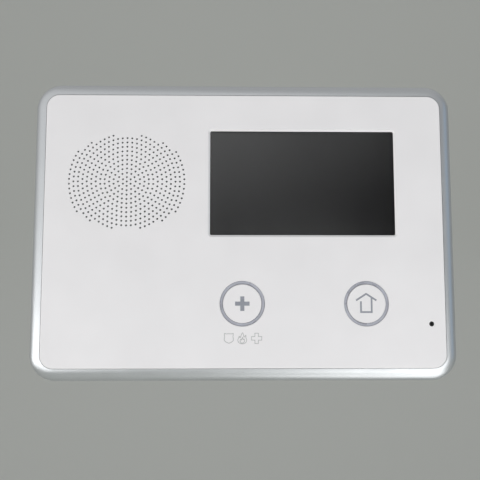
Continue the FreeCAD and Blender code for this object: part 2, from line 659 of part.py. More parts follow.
def button_switch_bodies():
    bodies = []
    for x, z in (EMERGENCY_XZ, HOME_XZ):
        half = SWITCH_SIZE / 2
        front = BOARD_FRONT_DEPTH + SWITCH_HEIGHT
        body = block(x - half, x + half, z - half, z + half, BOARD_FRONT_DEPTH, front)
        bodies.append(body.cut(disc(x, z, PLUNGER_R + RUNNING_GAP, BOARD_FRONT_DEPTH + 0.9, front + 1)))
    return Part.makeCompound(bodies)


def switch_plunger(place):
    x, z = place
    post_end = COVER_BACK_DEPTH - 3.0
    return disc(x, z, PLUNGER_R, BOARD_FRONT_DEPTH + 0.9 + BUTTON_TRAVEL + 0.1, post_end)


def ring_leds():
    """Small lamps on the board under each ring's flange."""
    lamps = []
    for x, z in (EMERGENCY_XZ, HOME_XZ):
        for index in range(LEDS_PER_RING):
            turn = math.radians(45) + 2 * math.pi * index / LEDS_PER_RING
            lamp_x = x + LED_CIRCLE_R * math.cos(turn)
            lamp_z = z + LED_CIRCLE_R * math.sin(turn)
            base = block(lamp_x - 1.0, lamp_x + 1.0, lamp_z - 0.6, lamp_z + 0.6,
                         BOARD_FRONT_DEPTH, BOARD_FRONT_DEPTH + 0.5)
            dome = block(lamp_x - 0.7, lamp_x + 0.7, lamp_z - 0.5, lamp_z + 0.5,
                         BOARD_FRONT_DEPTH + 0.4, BOARD_FRONT_DEPTH + 1.1)
            lamps.append(base.fuse(dome))
    return Part.makeCompound(lamps)


# ---------------------------------------------------------------- speaker and microphone

def grille_cloth():
    half = (GRILLE_POCKET_HALF[0] - 0.4, GRILLE_POCKET_HALF[1] - 0.4)
    return ellipse_slab(SPEAKER_X, SPEAKER_Z, half[0], half[1], CLOTH_FRONT_DEPTH - CLOTH_THICKNESS,
                        CLOTH_FRONT_DEPTH)


def speaker_gasket():
    return tube(SPEAKER_X, SPEAKER_Z, CONE_R + 2.0, SPEAKER_R, SPEAKER_FRONT,
                CLOTH_FRONT_DEPTH - CLOTH_THICKNESS)


def speaker_basket():
    """Frame with a flat rim in front, a drum behind it and four windows in its sloping wall."""
    x, z = SPEAKER_X, SPEAKER_Z
    rim = disc(x, z, SPEAKER_R, SPEAKER_FRONT - 1.0, SPEAKER_FRONT)
    slope = cone_solid(x, z, MAGNET_R + 1.0, CONE_R + 3.0, MAGNET_FRONT, SPEAKER_FRONT - 0.5)
    hollow = cone_solid(x, z, MAGNET_R, CONE_R + 2.0, MAGNET_FRONT + 1.0, SPEAKER_FRONT + 0.01)
    neck = disc(x, z, COIL_R + 1.0, MAGNET_FRONT - 1, MAGNET_FRONT + 2)
    seat = disc(x, z, CONE_R + 2.0, SPEAKER_FRONT - 1.2, SPEAKER_FRONT + 1)
    body = rim.fuse(slope).cut([hollow, neck, seat])
    windows = []
    for index in range(BASKET_WINDOWS):
        window = block(x + 15.5, x + 24.0, z - 5.0, z + 5.0, MAGNET_FRONT + 2.5, SPEAKER_FRONT - 2.5)
        window.rotate(at(x, 0, z), TOWARDS_FRONT, 45 + 360 * index / BASKET_WINDOWS)
        windows.append(window)
    return body.cut(windows)


def speaker_magnet():
    """Ring magnet on a back plate with a pole in the middle, leaving the gap for the coil."""
    x, z = SPEAKER_X, SPEAKER_Z
    back = MAGNET_FRONT - MAGNET_THICKNESS
    body = disc(x, z, MAGNET_R, back, MAGNET_FRONT)
    body = body.makeChamfer(0.5, front_edges(body, back))
    gap = tube(x, z, COIL_R - 1.1, COIL_R + 0.5, back + 1.5, MAGNET_FRONT + 1)
    return body.cut(gap)


def speaker_cone():
    """Paper cone with a domed middle."""
    x, z = SPEAKER_X, SPEAKER_Z
    front = SPEAKER_FRONT - 1.2
    back = MAGNET_FRONT + 3.0
    outside = cone_solid(x, z, COIL_R, CONE_R, back, front)
    inside = cone_solid(x, z, COIL_R - 0.5, CONE_R - 0.5, back + 0.4, front + 0.001)
    dome = Part.makeSphere(9.0, at(x, back - 5.6, z))
    dome = dome.cut(Part.makeSphere(8.6, at(x, back - 5.6, z)))
    dome = dome.common(disc(x, z, COIL_R, back + 0.2, front))
    return outside.cut(inside).fuse(dome).removeSplitter()


def voice_coil():
    return tube(SPEAKER_X, SPEAKER_Z, COIL_R - 0.6, COIL_R, MAGNET_FRONT - 3.5, MAGNET_FRONT + 3.0)


def speaker_surround():
    """Half-round rubber roll between the cone and the frame."""
    outer, inner = 1.0, 0.7
    plane = SPEAKER_FRONT - 1.2

    def spot(along, up):
        return at(SPEAKER_X + CONE_R + 1.0 + along, plane + up, SPEAKER_Z)

    outline = Part.Wire([
        Part.Arc(spot(-outer, 0), spot(0, outer), spot(outer, 0)).toShape(),
        Part.LineSegment(spot(outer, 0), spot(inner, 0)).toShape(),
        Part.Arc(spot(inner, 0), spot(0, inner), spot(-inner, 0)).toShape(),
        Part.LineSegment(spot(-inner, 0), spot(-outer, 0)).toShape(),
    ])
    return Part.Face(outline).revolve(at(SPEAKER_X, 0, SPEAKER_Z), TOWARDS_FRONT, 360)


def microphone_boot():
    """Rubber boot around the capsule, whose snout fills the hole in the face but for a small sound hole."""
    body = disc(MIC_X, MIC_Z, MIC_CAPSULE_R + 1.2, MIC_FRONT_DEPTH - 3.2, COVER_BACK_DEPTH)
    snout_front = PANEL_DEPTH - MIC_SNOUT_SUNK
    snout = disc(MIC_X, MIC_Z, MIC_HOLE_R - 0.03, COVER_BACK_DEPTH - 0.5, snout_front)
    snout = snout.makeFillet(0.2, front_edges(snout, snout_front))
    pocket = disc(MIC_X, MIC_Z, MIC_CAPSULE_R, MIC_FRONT_DEPTH - 4, MIC_FRONT_DEPTH)
    return body.fuse(snout).cut([pocket, disc(MIC_X, MIC_Z, MIC_SOUND_HOLE_R, 0, PANEL_DEPTH)])


def microphone():
    back = MIC_FRONT_DEPTH - MIC_CAPSULE_LENGTH
    body = disc(MIC_X, MIC_Z, MIC_CAPSULE_R, back, MIC_FRONT_DEPTH)
    return body.makeChamfer(0.3, front_edges(body, back))


# ---------------------------------------------------------------- electronics

def main_board():
    middle_x = (BOARD_LEFT + BOARD_RIGHT) / 2
    half_width = (BOARD_RIGHT - BOARD_LEFT) / 2
    body = plate(half_width, BOARD_HALF_HEIGHT, 3.0, BOARD_BACK_DEPTH, BOARD_FRONT_DEPTH, middle_x, 0)
    holes = [disc(x, z, BOARD_SCREW_R + 0.2, 0, PANEL_DEPTH) for x, z in BOARD_SCREW_XZ]
    return body.cut(holes)


def board_screws():
    screws = []
    head_back = BOARD_BACK_DEPTH - BOARD_SCREW_HEAD_HEIGHT
    for x, z in BOARD_SCREW_XZ:
        head = disc(x, z, BOARD_SCREW_HEAD_R, head_back, BOARD_BACK_DEPTH)
        head = head.makeFillet(0.6, front_edges(head, head_back))
        shank = disc(x, z, BOARD_SCREW_R, BOARD_BACK_DEPTH - 0.5, BOARD_FRONT_DEPTH + 6.0)
        screws.append(head.fuse(shank).cut(cross_slot(x, z, 1.5, 0.3, head_back + 0.7)))
    return Part.makeCompound(screws)


def case_screws():
    screws = []
    head_back = SCREW_SEAT_DEPTH - SCREW_HEAD_HEIGHT
    for x, z in CASE_SCREW_XZ:
        head = disc(x, z, SCREW_HEAD_R, head_back, SCREW_SEAT_DEPTH)
        head = head.makeFillet(0.8, front_edges(head, head_back))
        shank = disc(x, z, SCREW_R, SCREW_SEAT_DEPTH - 0.5, SCREW_SEAT_DEPTH + SCREW_LENGTH)
        shank = shank.makeChamfer(0.5, front_edges(shank, SCREW_SEAT_DEPTH + SCREW_LENGTH))
        screws.append(head.fuse(shank).cut(cross_slot(x, z, 1.8, 0.35, head_back + 1.1)))
    return Part.makeCompound(screws)


def processor_shield():
    """Pressed metal can over the processor, with small vent holes."""
    x, z = SHIELD_XZ
    back = BOARD_BACK_DEPTH - SHIELD_HEIGHT
    body = plate(SHIELD_HALF, SHIELD_HALF, 1.0, back, BOARD_BACK_DEPTH, x, z)
    inner_half = SHIELD_HALF - SHIELD_SHEET
    inside = plate(inner_half, inner_half, 0.6, back + SHIELD_SHEET, BOARD_BACK_DEPTH + 1, x, z)
    vents = []
    for column in range(3):
        for row in range(3):
            vents.append(disc(x + 5 * (column - 1), z + 5 * (row - 1), 0.8, 0, BOARD_BACK_DEPTH - 1))
    return body.cut([inside] + vents)


def radio_module():
    """Plug-in cellular radio: a small board with a shield can."""
    x, z = RADIO_XZ
    carrier = plate(22.0, 12.0, 1.0, BOARD_BACK_DEPTH - 3.0, BOARD_BACK_DEPTH - 1.8, x, z)
    can = plate(17.0, 10.0, 1.0, BOARD_BACK_DEPTH - 5.6, BOARD_BACK_DEPTH - 3.0, x - 2.0, z)
    socket = block(x - 20, x - 14, z - 10, z + 10, BOARD_BACK_DEPTH - 1.8, BOARD_BACK_DEPTH)
    return fuse_all([carrier, can, socket])


def radio_antenna():
    """Flat aerial stuck under the housing's top wall."""
    body = block(ANTENNA_LEFT, ANTENNA_RIGHT, ANTENNA_Z - 0.4, ANTENNA_Z + 0.4, 10.0, 16.0)
    slots = []
    for step in range(1, ANTENNA_SLOTS + 1):
        left = ANTENNA_LEFT + ANTENNA_SLOT_PITCH * step
        slots.append(block(left, left + 2.5, ANTENNA_Z - 1, ANTENNA_Z + 1, 12.0, 14.5))
    return body.cut(slots)


def radio_antenna_lead():
    """Thin coaxial lead from the radio's can up to the aerial."""
    points = [
        at(ANTENNA_LEAD_X, 15.6, -22.0),
        at(ANTENNA_LEAD_X, 12.5, -14.0),
        at(ANTENNA_LEAD_X, 12.5, 50.0),
        at(ANTENNA_LEAD_X - 2.0, 12.5, 58.6),
    ]
    return lead(points, 0.6, 6.0)


def board_connectors():
    """Sockets on the board for the display cable, the battery leads and the speaker leads."""
    cable_z = SCREEN_Z - GLASS_SIZE[1] / 2 - 8.0
    half = RIBBON_WIDTH / 2 + 1.0
    display = block(SCREEN_X - half, SCREEN_X + half, cable_z - 4.5, cable_z,
                    BOARD_FRONT_DEPTH, BOARD_FRONT_DEPTH + 2.2)
    battery = block(-8.0, -1.0, -14.5, -9.5, BOARD_BACK_DEPTH - 5.0, BOARD_BACK_DEPTH)
    speaker = block(-24.0, -19.5, 18.0, 24.0, BOARD_BACK_DEPTH - 4.0, BOARD_BACK_DEPTH)
    return Part.makeCompound([display, battery, speaker])


def terminal_places():
    """Middle of each terminal along the row."""
    left = TERMINAL_X - TERMINAL_HALF_LENGTH
    return [left + TERMINAL_PITCH * (index + 0.5) for index in range(TERMINAL_COUNT)]


def terminal_block():
    """Row of screw terminals that faces the wiring opening."""
    body = block(TERMINAL_X - TERMINAL_HALF_LENGTH, TERMINAL_X + TERMINAL_HALF_LENGTH,
                 TERMINAL_Z - TERMINAL_HEIGHT / 2, TERMINAL_Z + TERMINAL_HEIGHT / 2,
                 TERMINAL_BACK_DEPTH, BOARD_BACK_DEPTH)
    cuts = []
    for x in terminal_places():
        cuts.append(disc(x, TERMINAL_SCREW_Z, TERMINAL_SCREW_R + 0.1, TERMINAL_BACK_DEPTH - 1,
                         TERMINAL_BACK_DEPTH + 5))
        cuts.append(block(x - 1.6, x + 1.6, TERMINAL_Z + 1.4, TERMINAL_Z + TERMINAL_HEIGHT,
                          TERMINAL_BACK_DEPTH - 1, TERMINAL_BACK_DEPTH + 3.5))
    return body.cut(cuts)


def terminal_screws():
    z = TERMINAL_SCREW_Z
    screws = []
    for x in terminal_places():
        screw = disc(x, z, TERMINAL_SCREW_R, TERMINAL_BACK_DEPTH + 1.0, TERMINAL_BACK_DEPTH + 4.9)
        slot = block(x - 2.0, x + 2.0, z - 0.3, z + 0.3, TERMINAL_BACK_DEPTH, TERMINAL_BACK_DEPTH + 1.9)
        screws.append(screw.cut(slot))
    return Part.makeCompound(screws)


# ---------------------------------------------------------------- battery

def battery_cells():
    """Flat pack of cells side by side, each with its raised end contact."""
    cells = []
    bottom = BATTERY_Z - CELL_LENGTH / 2
    up = FreeCAD.Vector(0, 0, 1)
    for index in range(CELL_COUNT):
        x = BATTERY_X + (index - (CELL_COUNT - 1) / 2) * 2 * (CELL_R + 0.02)
        can = Part.makeCylinder(CELL_R, CELL_LENGTH - 1.0, at(x, CELL_DEPTH, bottom), up)
        rims = [edge for edge in can.Edges if edge.BoundBox.ZLength < 1e-6]
        can = can.makeFillet(0.5, rims)
        nub = Part.makeCylinder(1.9, 1.5, at(x, CELL_DEPTH, bottom + CELL_LENGTH - 1.5), up)
        cells.append(can.fuse(nub))
    return Part.makeCompound(cells)


def battery_cover():
    """Flat lid in a rebate, with a shallow locating wall that enters the tray and a tab for its screw."""
    half = (HALF_TRAY[0] + BATTERY_LID_MARGIN - 0.2, HALF_TRAY[1] + BATTERY_LID_MARGIN - 0.2)
    lid_front = BACK_WALL_DEPTH + BATTERY_LID_THICKNESS
    lid = plate(half[0], half[1], 2.8, BACK_WALL_DEPTH, lid_front, BATTERY_X, BATTERY_Z)
    wall = plate(HALF_TRAY[0] - 0.3, HALF_TRAY[1] - 0.3, 1.4, BACK_WALL_DEPTH + 0.5,
                 BACK_WALL_DEPTH + 1.8, BATTERY_X, BATTERY_Z)
    hollow = plate(HALF_TRAY[0] - 1.5, HALF_TRAY[1] - 1.5, 1.0, lid_front, BACK_WALL_DEPTH + 3,
                   BATTERY_X, BATTERY_Z)
    tab = plate(5.0, 4.0, 1.8, BACK_WALL_DEPTH, lid_front, BATTERY_X, LID_SCREW_Z + 1.0)
    hole = disc(BATTERY_X, LID_SCREW_Z, LID_SCREW_R + 0.2, BACK_WALL_DEPTH - 1, BACK_WALL_DEPTH + 2)
    return lid.fuse(wall).cut(hollow).fuse(tab).cut(hole).removeSplitter()


def battery_cover_screw():
    x, z = BATTERY_X, LID_SCREW_Z
    head_back = BACK_WALL_DEPTH - 1.0
    head = disc(x, z, LID_SCREW_HEAD_R, head_back, BACK_WALL_DEPTH)
    head = head.makeFillet(0.5, front_edges(head, head_back))
    shank = disc(x, z, LID_SCREW_R, BACK_WALL_DEPTH - 0.3, BACK_WALL_DEPTH + 5.5)
    return head.fuse(shank).cut(cross_slot(x, z, 1.4, 0.3, head_back + 0.5))


def speaker_leads():
    """Pair of leads from the magnet's edge to the socket on the board."""
    pair = []
    for offset in (-0.7, 0.7):
        points = [
            at(SPEAKER_X + MAGNET_R, 15.0 + offset, SPEAKER_Z),
            at(-33.0, 15.0 + offset, SPEAKER_Z),
            at(-29.0, 18.4 + offset, 21.0),
            at(-24.0, 18.4 + offset, 21.0),
        ]
        pair.append(lead(points, SPEAKER_LEAD_R, 2.0))
    return Part.makeCompound(pair)


# ---------------------------------------------------------------- tamper switch

def tamper_switch_body():
    x, z = TAMPER_XZ
    half = TAMPER_BODY_HALF
    body = block(x - half, x + half, z - half, z + half, TAMPER_BODY_DEPTH, BOARD_BACK_DEPTH)
    return body.cut(disc(x, z, TAMPER_R + RUNNING_GAP, TAMPER_BODY_DEPTH - 1, TAMPER_BORE_DEPTH))


def tamper_plunger():
    """Pin whose rounded tip meets the wall plate, with a collar for its spring."""
    x, z = TAMPER_XZ
    tip = PLATE_THICKNESS + TAMPER_REST_GAP
    pin = disc(x, z, TAMPER_R, tip, TAMPER_PIN_FRONT_DEPTH)
    pin = pin.makeFillet(0.8, front_edges(pin, tip))
    collar = disc(x, z, TAMPER_R + 1.0, COLLAR_FRONT_DEPTH - 0.8, COLLAR_FRONT_DEPTH)
    return pin.fuse(collar).removeSplitter()


def tamper_spring():
    """Coil spring between the plunger's collar and the switch body, bent from short straight lengths."""
    x, z = TAMPER_XZ
    start = COLLAR_FRONT_DEPTH + SPRING_WIRE_R
    rise = TAMPER_BODY_DEPTH - COLLAR_FRONT_DEPTH - 2 * SPRING_WIRE_R
    coil_r = TAMPER_R + 2 * SPRING_WIRE_R + 0.1
    steps = SPRING_TURNS * SPRING_SIDES
    points = []
    for step in range(steps + 1):
        turn = 2 * math.pi * step / SPRING_SIDES
        depth = start + rise * step / steps
        points.append(at(x + coil_r * math.cos(turn), depth, z + coil_r * math.sin(turn)))
    path = Part.makePolygon(points)
    section = Part.Wire([Part.makeCircle(SPRING_WIRE_R, points[0], (points[1] - points[0]).normalize())])
    return path.makePipeShell([section], True, False, 1)


save("wall_plate", wall_plate())
save("rear_housing", rear_housing())
save("silver_trim_rim", silver_trim_rim())
save("front_cover", front_cover())
save("lcd_gasket", lcd_gasket())
save("touch_panel", touch_panel())
save("lcd_module", lcd_module())
save("lcd_bracket", lcd_bracket())
save("lcd_ribbon_cable", lcd_ribbon_cable())
for side, place, icon in (
    ("emergency", EMERGENCY_XZ, plus_icon(EMERGENCY_XZ)),
    ("home", HOME_XZ, house_icon(HOME_XZ)),
):
    save(side + "_icon", icon)
    save(side + "_light_ring", light_ring(place))
    save(side + "_button", button_cap(place, icon))
    save(side + "_return_spring", button_return_spring(place))
    save(side + "_switch_plunger", switch_plunger(place))
save("button_switch_bodies", button_switch_bodies())
save("ring_leds", ring_leds())
save("grille_cloth", grille_cloth())
save("speaker_gasket", speaker_gasket())
save("speaker_basket", speaker_basket())
save("speaker_magnet", speaker_magnet())
save("speaker_cone", speaker_cone())
save("voice_coil", voice_coil())
save("speaker_surround", speaker_surround())
save("speaker_leads", speaker_leads())
save("microphone_boot", microphone_boot())
save("microphone", microphone())
save("main_board", main_board())
save("board_screws", board_screws())
save("case_screws", case_screws())
save("processor_shield", processor_shield())
save("radio_module", radio_module())
save("radio_antenna", radio_antenna())
save("radio_antenna_lead", radio_antenna_lead())
save("board_connectors", board_connectors())
save("terminal_block", terminal_block())
save("terminal_screws", terminal_screws())
save("battery_cells", battery_cells())
save("battery_cover", battery_cover())
save("battery_cover_screw", battery_cover_screw())
save("tamper_switch_body", tamper_switch_body())
save("tamper_plunger", tamper_plunger())
save("tamper_spring", tamper_spring())
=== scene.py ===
import json
import math

import bmesh
import bpy
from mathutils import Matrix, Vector


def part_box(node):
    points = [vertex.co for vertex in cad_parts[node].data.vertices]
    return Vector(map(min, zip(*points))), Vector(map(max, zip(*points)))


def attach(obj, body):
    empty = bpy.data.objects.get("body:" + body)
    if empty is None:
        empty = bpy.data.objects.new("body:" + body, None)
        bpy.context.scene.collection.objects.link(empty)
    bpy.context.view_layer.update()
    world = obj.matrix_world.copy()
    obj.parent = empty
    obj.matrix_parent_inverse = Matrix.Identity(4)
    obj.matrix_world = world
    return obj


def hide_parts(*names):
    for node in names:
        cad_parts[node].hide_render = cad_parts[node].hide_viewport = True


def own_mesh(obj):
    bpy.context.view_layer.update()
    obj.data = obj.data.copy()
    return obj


# Alarm keypad panel: the looks, the spring pieces, the printed icons, the studio and the camera.
# Places are in metres, with X to the right, Z up and the face looking along -Y.

MM = 0.001

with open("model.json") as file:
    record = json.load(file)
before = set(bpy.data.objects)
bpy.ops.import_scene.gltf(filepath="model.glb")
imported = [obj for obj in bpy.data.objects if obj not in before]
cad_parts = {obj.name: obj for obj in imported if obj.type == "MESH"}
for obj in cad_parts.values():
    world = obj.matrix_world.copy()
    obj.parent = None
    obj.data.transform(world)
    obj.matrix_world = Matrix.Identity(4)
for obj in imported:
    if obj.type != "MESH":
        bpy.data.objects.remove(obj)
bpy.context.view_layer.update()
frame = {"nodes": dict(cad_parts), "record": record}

cover_low, cover_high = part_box("front_cover")
FACE_Y = cover_low.y
FACE_MIDDLE = Vector(((cover_low.x + cover_high.x) / 2, FACE_Y, (cover_low.z + cover_high.z) / 2))


def middle_of(node):
    low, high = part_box(node)
    return (low + high) / 2


def add_object(name, data):
    """New object in the scene, around a mesh, lamp or camera."""
    added = bpy.data.objects.new(name, data)
    bpy.context.scene.collection.objects.link(added)
    return added


# ---------------------------------------------------------------- colours

def grey(value):
    return (value, value, value, 1.0)


def srgb(red, green, blue):
    """Linear colour from 0-255 screen values."""
    linear = []
    for channel in (red, green, blue):
        part = channel / 255
        linear.append(part / 12.92 if part <= 0.04045 else ((part + 0.055) / 1.055) ** 2.4)
    return (*linear, 1.0)


def tone(colour, factor):
    return (colour[0] * factor, colour[1] * factor, colour[2] * factor, 1.0)


# ---------------------------------------------------------------- shader nodes

BEVEL_SAMPLES = 4
WAVE_TEXTURE_FACTOR = 20  # Blender's Wave Texture multiplies its own scale by this


def supply(tree, socket, value):
    """Feeds a socket from another node's output, or sets it to a constant."""
    if isinstance(value, bpy.types.NodeSocket):
        tree.links.new(value, socket)
    else:
        socket.default_value = value


def arithmetic(tree, operation, first, second):
    node = tree.nodes.new("ShaderNodeMath")
    node.operation = operation
    supply(tree, node.inputs[0], first)
    supply(tree, node.inputs[1], second)
    return node.outputs["Value"]


def dot_product(tree, first, second):
    node = tree.nodes.new("ShaderNodeVectorMath")
    node.operation = "DOT_PRODUCT"
    supply(tree, node.inputs[0], first)
    supply(tree, node.inputs[1], second)
    return node.outputs["Value"]


def map_range(tree, value, from_range, to_range, interpolation="LINEAR"):
    node = tree.nodes.new("ShaderNodeMapRange")
    node.interpolation_type = interpolation
    node.inputs["From Min"].default_value, node.inputs["From Max"].default_value = from_range
    node.inputs["To Min"].default_value, node.inputs["To Max"].default_value = to_range
    tree.links.new(value, node.inputs["Value"])
    return node.outputs["Result"]


class Look:
    """A Principled material with helpers for the textures that feed it.

    Its roughness is the plain value that a texture may then vary about.
    """

    def __init__(self, name, roughness, metallic=0.0, **constants):
        self.material = bpy.data.materials.new(name)
        self.material.use_nodes = True
        self.tree = self.material.node_tree
        self.shader = self.tree.nodes["Principled BSDF"]
        self.place = self.tree.nodes.new("ShaderNodeTexCoord").outputs["Object"]
        self.set("Roughness", roughness)
        self.set("Metallic", metallic)
        for socket, value in constants.items():
            self.set(socket.replace("_", " "), value)

    def set(self, socket, value):
        self.shader.inputs[socket].default_value = value

    def feed(self, socket, output):
        self.tree.links.new(output, self.shader.inputs[socket])

    def placed(self, kind, place, **inputs):
        """New node that reads a place, with its other inputs set by name."""
        node = self.tree.nodes.new(kind)
        self.tree.links.new(place, node.inputs["Vector"])
        for socket, value in inputs.items():
            node.inputs[socket].default_value = value
        return node

    def noise(self, size, detail=3.0, roughness=0.55, stretch=(1, 1, 1), distortion=0.0):
        """Noise whose features are about `size` metres across."""
        mapping = self.placed("ShaderNodeMapping", self.place, Scale=stretch)
        texture = self.placed(
            "ShaderNodeTexNoise", mapping.outputs["Vector"],
            Scale=1 / size, Detail=detail, Roughness=roughness, Distortion=distortion,
        )
        return texture.outputs["Fac"]

    def cells(self, size, feature="F1"):
        texture = self.placed("ShaderNodeTexVoronoi", self.place, Scale=1 / size)
        texture.feature = feature
        return texture.outputs["Distance"]

    def bands(self, pitch, direction):
        """Slightly uneven bands that repeat at the pitch along one direction."""
        scale = 2 * math.pi / (pitch * WAVE_TEXTURE_FACTOR)
        texture = self.placed("ShaderNodeTexWave", self.place, Scale=scale, Distortion=0.4, Detail=1.0)
        texture.bands_direction = direction
        return texture.outputs["Fac"]

    def spread(self, value, low, high, from_low=0.3, from_high=0.7):
        """Stretches a value over low to high. Noise mostly lies between 0.3 and 0.7."""
        return map_range(self.tree, value, (from_low, from_high), (low, high))

    def combine(self, operation, first, second):
        return arithmetic(self.tree, operation, first, second)

    def blend(self, factor, first, second):
        """Colour between two colours, each a constant or another node's output."""
        node = self.tree.nodes.new("ShaderNodeMix")
        node.data_type = "RGBA"
        supply(self.tree, node.inputs["Factor"], factor)
        supply(self.tree, node.inputs["A"], first)
        supply(self.tree, node.inputs["B"], second)
        return node.outputs["Result"]

    def mottled(self, pattern, colour, darkest, lightest):
        """The colour, between a darker and a lighter tone of itself as the pattern goes."""
        return self.blend(self.spread(pattern, 0.0, 1.0), tone(colour, darkest), tone(colour, lightest))

    def edges(self, radius):
        """0 on flat faces, rising to 1 at sharp edges within the radius."""
        bevel = self.tree.nodes.new("ShaderNodeBevel")
        bevel.samples = BEVEL_SAMPLES
        bevel.inputs["Radius"].default_value = radius
        geometry = self.tree.nodes.new("ShaderNodeNewGeometry")
        flatness = dot_product(self.tree, bevel.outputs["Normal"], geometry.outputs["Normal"])
        return self.spread(flatness, 1.0, 0.0, from_low=0.80, from_high=0.995)

    def bump(self, height, distance):
        node = self.tree.nodes.new("ShaderNodeBump")
        node.inputs["Distance"].default_value = distance
        self.tree.links.new(height, node.inputs["Height"])
        self.feed("Normal", node.outputs["Normal"])


# ---------------------------------------------------------------- materials

DARK_PLASTIC = 0.5  # rubbed edges are lighter on plastic darker than this, and darker on the rest


def moulded_plastic(name, colour, roughness, grain=0.35 * MM, depth=0.006 * MM, wear=0.0, **constants):
    """Moulded plastic: fine spark-eroded grain, faint cloudiness, handling smudges, rubbed edges."""
    look = Look(name, roughness, **constants)
    clouds = look.noise(28 * MM, detail=2.0)
    smudges = look.noise(9 * MM, detail=5.0, roughness=0.65, distortion=0.6)
    base = look.mottled(clouds, colour, darkest=0.972, lightest=1.012)
    if wear:
        edge = look.edges(0.5 * MM)
        rubbed = look.combine("MULTIPLY", edge, look.spread(look.noise(3 * MM), 0.0, wear))
        base = look.blend(rubbed, base, tone(colour, 1.25 if max(colour[:3]) < DARK_PLASTIC else 0.80))
    look.feed("Base Color", base)
    look.feed("Roughness", look.spread(smudges, roughness - 0.06, roughness + 0.07))
    look.bump(look.noise(grain, detail=2.0, roughness=0.5), depth)
    return look.material


def silver_paint():
    """Satin silver paint: fine flake, slight orange peel, rubbed a little at the outer edge."""
    colour = (0.68, 0.70, 0.715, 1.0)
    look = Look("silver_paint", 0.38, metallic=0.92, Coat_Weight=0.25, Coat_Roughness=0.22)
    flake = look.cells(0.16 * MM)
    glints = look.spread(flake, 0.0, 1.0, from_low=0.1, from_high=0.6)
    base = look.blend(glints, tone(colour, 1.05), tone(colour, 0.93))
    rubbed = look.combine("MULTIPLY", look.edges(0.4 * MM), look.spread(look.noise(4 * MM), 0.0, 0.5))
    look.feed("Base Color", look.blend(rubbed, base, grey(0.84)))
    smear = look.noise(12 * MM, detail=4.0, roughness=0.6)
    look.feed("Roughness", look.spread(smear, 0.35, 0.43))
    peel = look.combine("ADD", look.noise(1.3 * MM, detail=1.0), look.combine("MULTIPLY", flake, 0.25))
    look.bump(peel, 0.010 * MM)
    return look.material


def ring_lens():
    """Unlit light ring: grey translucent plastic with a fine turned finish, darkened along both edges by
    painted shade that stands in for the shadow in the gaps around it.
    """
    colour = srgb(190, 192, 202)
    look = Look("ring_lens", 0.30, metallic=0.25, Coat_Weight=0.4, Coat_Roughness=0.12)
    turned = look.noise(0.12 * MM, detail=2.0)
    clouds = look.noise(5 * MM)
    base = look.mottled(clouds, colour, darkest=0.88, lightest=1.08)
    # Painted shade: the base colour darkens near both edges of the ring, in place of the shadow in the gaps
    # to the face.
    look.feed("Base Color", look.blend(look.edges(0.4 * MM), base, tone(colour, 0.55)))
    look.feed("Roughness", look.spread(clouds, 0.24, 0.38))
    look.bump(turned, 0.004 * MM)
    return look.material


def icon_insert():
    """Smooth grey plastic of the plus and the house."""
    look = Look("icon_insert", 0.38)
    clouds = look.noise(1.6 * MM)
    look.feed("Base Color", look.mottled(clouds, srgb(152, 155, 164), darkest=0.93, lightest=1.07))
    look.feed("Roughness", look.spread(clouds, 0.32, 0.44))
    look.bump(look.noise(0.3 * MM), 0.003 * MM)
    return look.material


def screen_glass():
    """Clear touch glass with faint finger smears in its gloss."""
    look = Look("screen_glass", 0.07, IOR=1.5, Transmission_Weight=1.0)
    smear = look.noise(14 * MM, detail=4.0, roughness=0.6, stretch=(1.0, 1.0, 0.45), distortion=1.2)
    look.feed("Roughness", look.spread(smear, 0.05, 0.10, from_low=0.42, from_high=0.75))
    haze = look.noise(30 * MM, detail=2.0)
    look.feed("Base Color", look.blend(look.spread(haze, 0.0, 1.0), grey(0.90), grey(0.96)))
    look.bump(look.noise(22 * MM, detail=1.0), 0.004 * MM)
    return look.material


def display():
    """Switched-off display: near black, with its grid of dots just present in the sheen."""
    dot_pitch = 0.22 * MM
    darkest = (0.010, 0.010, 0.011, 1.0)
    lightest = (0.014, 0.014, 0.015, 1.0)
    look = Look("display", 0.32)
    grid = look.combine("MULTIPLY", look.bands(dot_pitch, "X"), look.bands(dot_pitch, "Z"))
    clouds = look.noise(40 * MM, detail=1.0)
    black = look.blend(look.spread(clouds, 0.0, 1.0), darkest, lightest)
    sheen = look.spread(grid, 0.0, 0.35, from_low=0.0, from_high=1.0)
    look.feed("Base Color", look.blend(sheen, black, grey(0.028)))
    look.feed("Roughness", look.spread(clouds, 0.28, 0.38))
    look.bump(grid, 0.0003 * MM)
    return look.material


def pressed_metal(name, colour, roughness):
    """Bare or plated metal with fine drawn lines and a little staining."""
    look = Look(name, roughness, metallic=1.0)
    lines = look.noise(1.2 * MM, detail=4.0, stretch=(1, 1, 12))
    stains = look.noise(8 * MM, detail=4.0, roughness=0.65)
    base = look.mottled(stains, colour, darkest=0.82, lightest=1.05)
    rubbed = look.combine("MULTIPLY", look.edges(0.2 * MM), 0.5)
    look.feed("Base Color", look.blend(rubbed, base, tone(colour, 1.25)))
    look.feed("Roughness", look.spread(lines, roughness - 0.08, roughness + 0.10))
    look.bump(lines, 0.006 * MM)
    return look.material


def rubber(name, colour, roughness=0.72, grain=0.25 * MM):
    """Dull soft surface with a little dust."""
    look = Look(name, roughness)
    dust = look.noise(6 * MM, detail=5.0, roughness=0.7)
    look.feed("Base Color", look.mottled(dust, colour, darkest=0.85, lightest=1.25))
    look.feed("Roughness", look.spread(dust, roughness - 0.08, roughness + 0.10))
    look.bump(look.noise(grain), 0.012 * MM)
    return look.material


def cloth(name, colour, pitch):
    """Open weave in two directions."""
    look = Look(name, 0.85, Sheen_Weight=0.2)
    threads = look.combine("MAXIMUM", look.bands(pitch, "X"), look.bands(pitch, "Z"))
    look.feed("Base Color", look.blend(threads, tone(colour, 0.4), tone(colour, 1.2)))
    look.feed("Roughness", look.spread(threads, 0.8, 0.92))
    look.bump(threads, 0.05 * MM)
    return look.material


